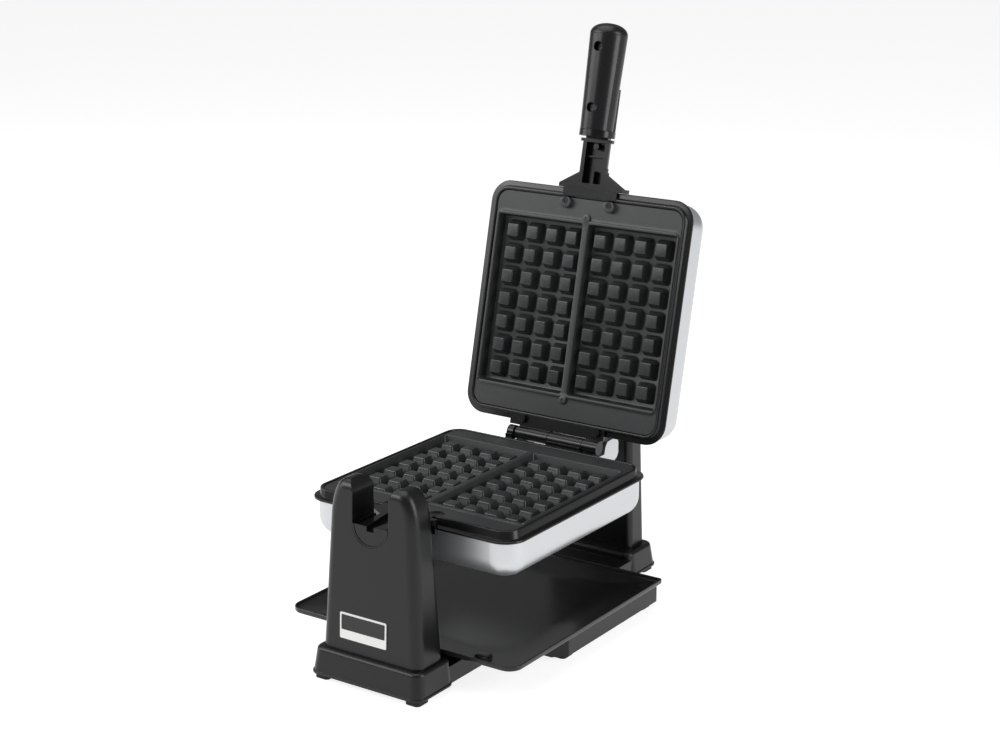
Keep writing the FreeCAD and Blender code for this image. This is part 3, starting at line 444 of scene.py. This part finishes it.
grid = bpy.data.node_groups.new("rows_of_posts", "GeometryNodeTree")
grid.interface.new_socket("Pan", in_out="INPUT", socket_type="NodeSocketGeometry")
for name, kind in (("Pitch", "NodeSocketFloat"), ("First Column", "NodeSocketFloat"),
                   ("Columns", "NodeSocketInt"), ("Rows", "NodeSocketInt"),
                   ("Post", "NodeSocketObject"), ("Finish", "NodeSocketMaterial")):
    grid.interface.new_socket(name, in_out="INPUT", socket_type=kind)
grid.interface.new_socket("Plate", in_out="OUTPUT", socket_type="NodeSocketGeometry")
given = add(grid, "NodeGroupInput").outputs
columns_less = add(grid, "ShaderNodeMath", {"operation": "SUBTRACT"}, {0: given["Columns"], 1: 1.0})
rows_less = add(grid, "ShaderNodeMath", {"operation": "SUBTRACT"}, {0: given["Rows"], 1: 1.0})
width = add(grid, "ShaderNodeMath", {"operation": "MULTIPLY"},
            {0: given["Pitch"], 1: columns_less.outputs[0]})
length = add(grid, "ShaderNodeMath", {"operation": "MULTIPLY"},
             {0: given["Pitch"], 1: rows_less.outputs[0]})
field = add(grid, "GeometryNodeMeshGrid", None,
            {"Size X": width.outputs[0], "Size Y": length.outputs[0],
             "Vertices X": given["Columns"], "Vertices Y": given["Rows"]})
half_width = add(grid, "ShaderNodeMath", {"operation": "MULTIPLY_ADD"},
                 {0: width.outputs[0], 1: 0.5, 2: given["First Column"]})
left_way = add(grid, "ShaderNodeMath", {"operation": "MULTIPLY"}, {0: half_width.outputs[0], 1: -1.0})
right_shift = add(grid, "ShaderNodeCombineXYZ", None, {"X": half_width.outputs[0]})
left_shift = add(grid, "ShaderNodeCombineXYZ", None, {"X": left_way.outputs[0]})
right_field = add(grid, "GeometryNodeTransform", None,
                  {"Geometry": field.outputs["Mesh"], "Translation": right_shift.outputs[0]})
left_field = add(grid, "GeometryNodeTransform", None,
                 {"Geometry": field.outputs["Mesh"], "Translation": left_shift.outputs[0]})
both = add(grid, "GeometryNodeJoinGeometry")
grid.links.new(right_field.outputs[0], both.inputs[0])
grid.links.new(left_field.outputs[0], both.inputs[0])
shape = add(grid, "GeometryNodeObjectInfo", None, {"Object": given["Post"]})
stood = add(grid, "GeometryNodeInstanceOnPoints", None,
            {"Points": both.outputs[0], "Instance": shape.outputs["Geometry"]})
real = add(grid, "GeometryNodeRealizeInstances", None, {"Geometry": stood.outputs[0]})
whole = add(grid, "GeometryNodeJoinGeometry")
grid.links.new(given["Pan"], whole.inputs[0])
grid.links.new(real.outputs[0], whole.inputs[0])
coated = add(grid, "GeometryNodeSetMaterial", None,
             {"Geometry": whole.outputs[0], "Material": given["Finish"]})
add(grid, "NodeGroupOutput", None, {0: coated.outputs[0]})

pan_with_bosses = plate_pan.copy()
mesh = bmesh.new()
mesh.from_mesh(pan_with_bosses)
for x in (-BOSS_X, BOSS_X):
    stack(mesh, [(7.6, -113.0, -101.7, 5.9, 1.8), (7.3, -113.0, -102.0, 5.7, 1.3),
                 (7.1, -113.0, -102.2, 5.5, 0.8), (6.9, -113.0, -102.4, 5.4, -2.8),
                 (6.7, -112.9, -102.6, 5.2, -3.3), (6.2, -112.6, -103.1, 4.7, -3.5),
                 square(3.5, 3.49, -3.5, BOSS_Y), square(3.5, 3.49, -2.0, BOSS_Y),
                 square(0.9, 0.89, -2.0, BOSS_Y)], x=x, cap_start=True, cap_end=True)
for y in (-TAB_Y, TAB_Y):
    stack(mesh, [square(4.6, 4.5, 1.8, y), square(4.4, 4.3, 0.1, y), square(3.8, 3.7, -0.2, y),
                 square(1.6, 1.5, -0.2, y), square(1.4, 1.3, 0.4, y)],
          cap_start=True, cap_end=True)
mesh.to_mesh(pan_with_bosses)
mesh.free()
pan_with_wells = plate_pan.copy()
mesh = bmesh.new()
for x in (-BOSS_X, BOSS_X):
    stack(mesh, [square(8.2, 8.1, -2.0, BOSS_Y), square(8.2, 8.1, 4.0, BOSS_Y)],
          x=x, cap_start=True, cap_end=True)
for y in (-TAB_Y, TAB_Y):
    stack(mesh, [square(5.2, 5.1, -2.0, y), square(5.2, 5.1, 1.7, y)], cap_start=True, cap_end=True)
bmesh.ops.recalc_face_normals(mesh, faces=mesh.faces)
well_mesh = bpy.data.meshes.new("wells")
mesh.to_mesh(well_mesh)
mesh.free()
wells = bpy.data.objects.new("wells", well_mesh)
bpy.context.collection.objects.link(wells)

wanted = {"Pitch": 24.0, "First Column": 17.2, "Columns": 4, "Rows": 7,
          "Post": post, "Finish": nonstick}
for name, body, place, pan in (("lower_plate", "lower_half", lower_place, pan_with_wells),
                               ("upper_plate", "lid", lid_place, pan_with_bosses)):
    caster = bpy.data.objects.new("caster", pan)
    bpy.context.collection.objects.link(caster)
    if pan == pan_with_wells:
        sinking = caster.modifiers.new("wells_for_the_bosses", "BOOLEAN")
        sinking.object = wells
    rows = caster.modifiers.new("rows_of_posts", "NODES")
    rows.node_group = grid
    for item in grid.interface.items_tree:
        if item.in_out == "INPUT" and item.name in wanted:
            rows[item.identifier] = wanted[item.name]
    cast = caster.evaluated_get(bpy.context.evaluated_depsgraph_get())
    data = bpy.data.meshes.new_from_object(cast)
    bpy.data.objects.remove(caster)
    data.transform(place @ Matrix.Scale(0.001, 4))
    for face in data.polygons:
        face.use_smooth = True
    data.set_sharp_from_angle(angle=math.radians(PLATE_SMOOTH_ANGLE))
    plate = bpy.data.objects.new(name + "_casting", data)
    bpy.context.collection.objects.link(plate)
    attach(plate, body)
    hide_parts(name)
bpy.data.objects.remove(wells)


# ---- Hinge leaves and neck ---------------------------------------------------------------
# Cast and pressed parts in satin black stove enamel, a little glossier than the mouldings.
stove_enamel = moulded_black("stove_enamel_black", "#08080A", 0.24, 1.5, 0.03, 0.4, 0.0)
finish(stove_enamel, "hinge_base", "hinge_leaf", "lower_journal", "handle_neck", "front_liner")


# ---- Handle ------------------------------------------------------------------------------
# Two phenolic shells: the front one polished to a soft gloss, the back one and the thumb slider
# left satin.
gloss_phenolic = moulded_black("polished_phenolic_black", "#101012", 0.27, 6.0, 0.015, 0.4, 0.0)
satin_phenolic = moulded_black("satin_phenolic_black", "#09090A", 0.34, 0.8, 0.04, 0.5, 0.0)
finish(gloss_phenolic, "grip_front")
finish(satin_phenolic, "grip_back", "latch_slider")


# ---- Badge -------------------------------------------------------------------------------
# Thin blank aluminium plate, satin, with a gloss black field set into its upper part.
badge_aluminium, tree = new_material("satin_aluminium_badge")
place = add(tree, "ShaderNodeTexCoord")
stretch = add(tree, "ShaderNodeMapping", None,
              {"Vector": place.outputs["Object"], "Scale": (0.04, 1, 1)})
brush = add(tree, "ShaderNodeTexNoise", None,
            {"Vector": stretch.outputs["Vector"], "Scale": 1000 / 0.35, "Detail": 2.0})
tone = add(tree, "ShaderNodeMix", {"data_type": "RGBA"},
           {"Factor": brush.outputs["Fac"], 6: linear("#C9C9C7"), 7: linear("#E2E2E0")})
bump = add(tree, "ShaderNodeBump", None,
           {"Height": brush.outputs["Fac"], "Distance": 0.00002, "Strength": 0.5})
surface = add(tree, "ShaderNodeBsdfPrincipled", None,
              {"Base Color": tone.outputs[2], "Metallic": 0.7, "Roughness": 0.36,
               "Normal": bump.outputs["Normal"]})
add(tree, "ShaderNodeOutputMaterial", None, {"Surface": surface.outputs["BSDF"]})
finish(badge_aluminium, "badge_plate")
finish(moulded_black("printed_gloss_black", "#0E0E0F", 0.2, 6.0, 0.01, 0.2, 0.2), "badge_panel")


# ---- Screws, pins and axle ---------------------------------------------------------------
# Turned and cold-headed steel: zinc-plated below, blackened where it shows on the lid.
def bare_metal(name, colour, roughness, mark_mm):
    """Machined or plated metal with faint tool marks."""
    made, tree = new_material(name)
    place = add(tree, "ShaderNodeTexCoord")
    marks = add(tree, "ShaderNodeTexNoise", None,
                {"Vector": place.outputs["Object"], "Scale": 1000 / mark_mm, "Detail": 3.0})
    tone = add(tree, "ShaderNodeMix", {"data_type": "RGBA"},
               {"Factor": marks.outputs["Fac"], 6: linear(colour),
                7: [min(1.0, c * 1.2) for c in linear(colour)[:3]] + [1.0]})
    rub = add(tree, "ShaderNodeMapRange", None,
              {"Value": marks.outputs["Fac"], "To Min": roughness - 0.06, "To Max": roughness + 0.08})
    bump = add(tree, "ShaderNodeBump", None,
               {"Height": marks.outputs["Fac"], "Distance": 0.00003, "Strength": 0.4})
    surface = add(tree, "ShaderNodeBsdfPrincipled", None,
                  {"Base Color": tone.outputs[2], "Metallic": 1.0, "Roughness": rub.outputs["Result"],
                   "Normal": bump.outputs["Normal"]})
    add(tree, "ShaderNodeOutputMaterial", None, {"Surface": surface.outputs["BSDF"]})
    return made


zinc_steel = bare_metal("zinc_plated_steel", "#A9ABAD", 0.35, 1.2)
black_steel = bare_metal("blackened_steel", "#2C2C2E", 0.36, 1.0)
finish(zinc_steel, "cover_screws", "column_screws", "rear_cover_screws", "hinge_pin", "rear_axle",
       "axle_clip")
finish(black_steel, "lid_screws", "grip_screws", "lower_plate_screws", "upper_plate_screws")


# ---- Bush, elements, reflectors, fuse, thermostat and terminal block ---------------------
# What is inside: sintered bronze, heat-tinted steel tube, bright rolled aluminium and glazed
# ceramic.
finish(bare_metal("sintered_bronze", "#8C6A3C", 0.5, 0.6), "rear_bearing")
finish(bare_metal("heat_tinted_steel", "#6B5E52", 0.45, 4.0), "lower_heater", "upper_heater")
finish(bare_metal("bright_aluminium", "#D8DADC", 0.22, 6.0), "lower_reflector",
       "upper_reflector", "thermal_fuse")
glaze, tree = new_material("glazed_ceramic")
place = add(tree, "ShaderNodeTexCoord")
mottle = add(tree, "ShaderNodeTexNoise", None,
             {"Vector": place.outputs["Object"], "Scale": 1000 / 3.0, "Detail": 2.0})
tone = add(tree, "ShaderNodeMix", {"data_type": "RGBA"},
           {"Factor": mottle.outputs["Fac"], 6: linear("#E4DFD2"), 7: linear("#EFEBE0")})
surface = add(tree, "ShaderNodeBsdfPrincipled", None,
              {"Base Color": tone.outputs[2], "Roughness": 0.25, "IOR": 1.5})
add(tree, "ShaderNodeOutputMaterial", None, {"Surface": surface.outputs["BSDF"]})
finish(glaze, "terminal_block", "thermostat")
